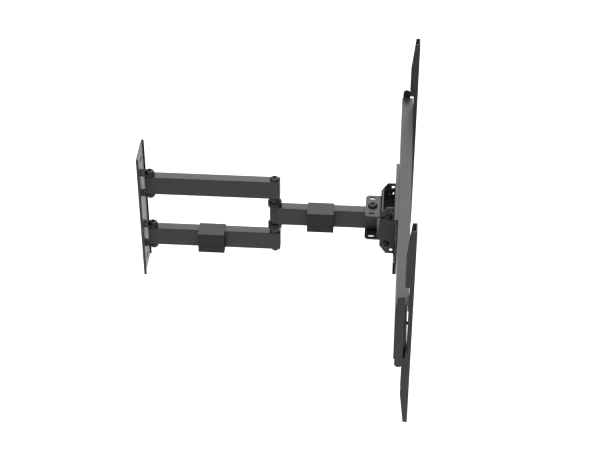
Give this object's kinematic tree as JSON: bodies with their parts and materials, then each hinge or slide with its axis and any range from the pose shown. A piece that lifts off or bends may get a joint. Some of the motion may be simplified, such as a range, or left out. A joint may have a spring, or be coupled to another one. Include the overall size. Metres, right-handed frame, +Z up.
{
  "type": "full motion tv wall mount",
  "caption": "Wall plate, twin swivel arms and forearm carrying a tilting rail with sliding vertical TV arms.",
  "frame": {"origin": "centre of the wall plate's back face, on the wall", "axes": "+X from the wall towards the TV, +Z up, +Y along the rail"},
  "size_m": [0.515, 0.6546, 0.434],
  "materials": {
    "powder_coat": "satin black powder coat, fine texture",
    "black_plastic": "moulded matt black",
    "black_steel": "black oxide"
  },
  "bodies": {
    "wall": {"wall_plate": "powder_coat", "upper_hinge_tab_top": "powder_coat", "upper_hinge_tab_bottom": "powder_coat", "lower_hinge_tab_top": "powder_coat", "lower_hinge_tab_bottom": "powder_coat", "upper_wall_pivot_bolt": "black_steel", "upper_wall_pivot_nut": "black_steel", "lower_wall_pivot_bolt": "black_steel", "lower_wall_pivot_nut": "black_steel"},
    "arms": {"upper_arm": "powder_coat", "lower_arm": "powder_coat", "upper_arm_cap_elbow": "black_plastic", "lower_arm_cap_elbow": "black_plastic", "upper_wall_bush_top": "black_plastic", "upper_wall_bush_bottom": "black_plastic", "lower_wall_bush_top": "black_plastic", "lower_wall_bush_bottom": "black_plastic", "elbow_bush_upper": "black_plastic", "elbow_bush_lower": "black_plastic", "arm_cable_clip": "black_plastic", "elbow_bolt": "black_steel", "elbow_nut": "black_steel"},
    "forearm": {"forearm": "powder_coat", "elbow_sleeve": "powder_coat", "elbow_collar_upper": "black_plastic", "elbow_collar_lower": "black_plastic", "forearm_cap": "black_plastic", "swivel_bush_top": "black_plastic", "swivel_bush_bottom": "black_plastic", "forearm_cable_clip": "black_plastic"},
    "head": {"swivel_yoke": "powder_coat", "swivel_bolt": "black_steel", "swivel_nut": "black_steel", "tilt_cheeks": "powder_coat", "tilt_pivot_bolt_left": "black_steel", "tilt_pivot_bolt_right": "black_steel", "tilt_pivot_nut_left": "black_steel", "tilt_pivot_nut_right": "black_steel", "tilt_lock_bolt_left": "black_steel", "tilt_lock_bolt_right": "black_steel", "tilt_lock_nut_left": "black_steel", "tilt_lock_nut_right": "black_steel"},
    "tv_frame": {"tilt_wing_left": "powder_coat", "tilt_wing_right": "powder_coat", "centre_plate": "powder_coat", "rail": "powder_coat", "rail_end_plate_left": "powder_coat", "rail_end_plate_right": "powder_coat", "rail_rivet_1": "black_steel", "rail_rivet_2": "black_steel", "rail_rivet_3": "black_steel", "rail_rivet_4": "black_steel"},
    "tv_arm_left": {"tv_arm_left": "powder_coat", "clamp_bar_left": "black_steel", "clamp_bolt_left": "black_steel", "clamp_nut_left": "black_steel"},
    "tv_arm_right": {"tv_arm_right": "powder_coat", "clamp_bar_right": "black_steel", "clamp_bolt_right": "black_steel", "clamp_nut_right": "black_steel"}
  },
  "joints": [
    {"name": "wall_swivel", "type": "hinge", "parent": "wall", "child": "arms", "pos_m": [0.0175, 0, 0], "axis": [0, 0, 1], "range_deg": [-80, 80]},
    {"name": "elbow_swivel", "type": "hinge", "parent": "arms", "child": "forearm", "pos_m": [0.252, 0, 0], "axis": [0, 0, -1], "range_deg": [-135, 135]},
    {"name": "head_swivel", "type": "hinge", "parent": "forearm", "child": "head", "pos_m": [0.436, 0, 0], "axis": [0, 0, 1], "range_deg": [-60, 60]},
    {"name": "tilt", "type": "hinge", "parent": "head", "child": "tv_frame", "pos_m": [0.463, 0, -0.031], "axis": [0, 1, 0], "range_deg": [-5, 10]},
    {"name": "left_arm_slide", "type": "slide", "parent": "tv_frame", "child": "tv_arm_left", "axis": [0, 1, 0], "range_m": [-0.2, 0.01]},
    {"name": "right_arm_slide", "type": "slide", "parent": "tv_frame", "child": "tv_arm_right", "axis": [0, 1, 0], "range_m": [-0.01, 0.2]}
  ]
}
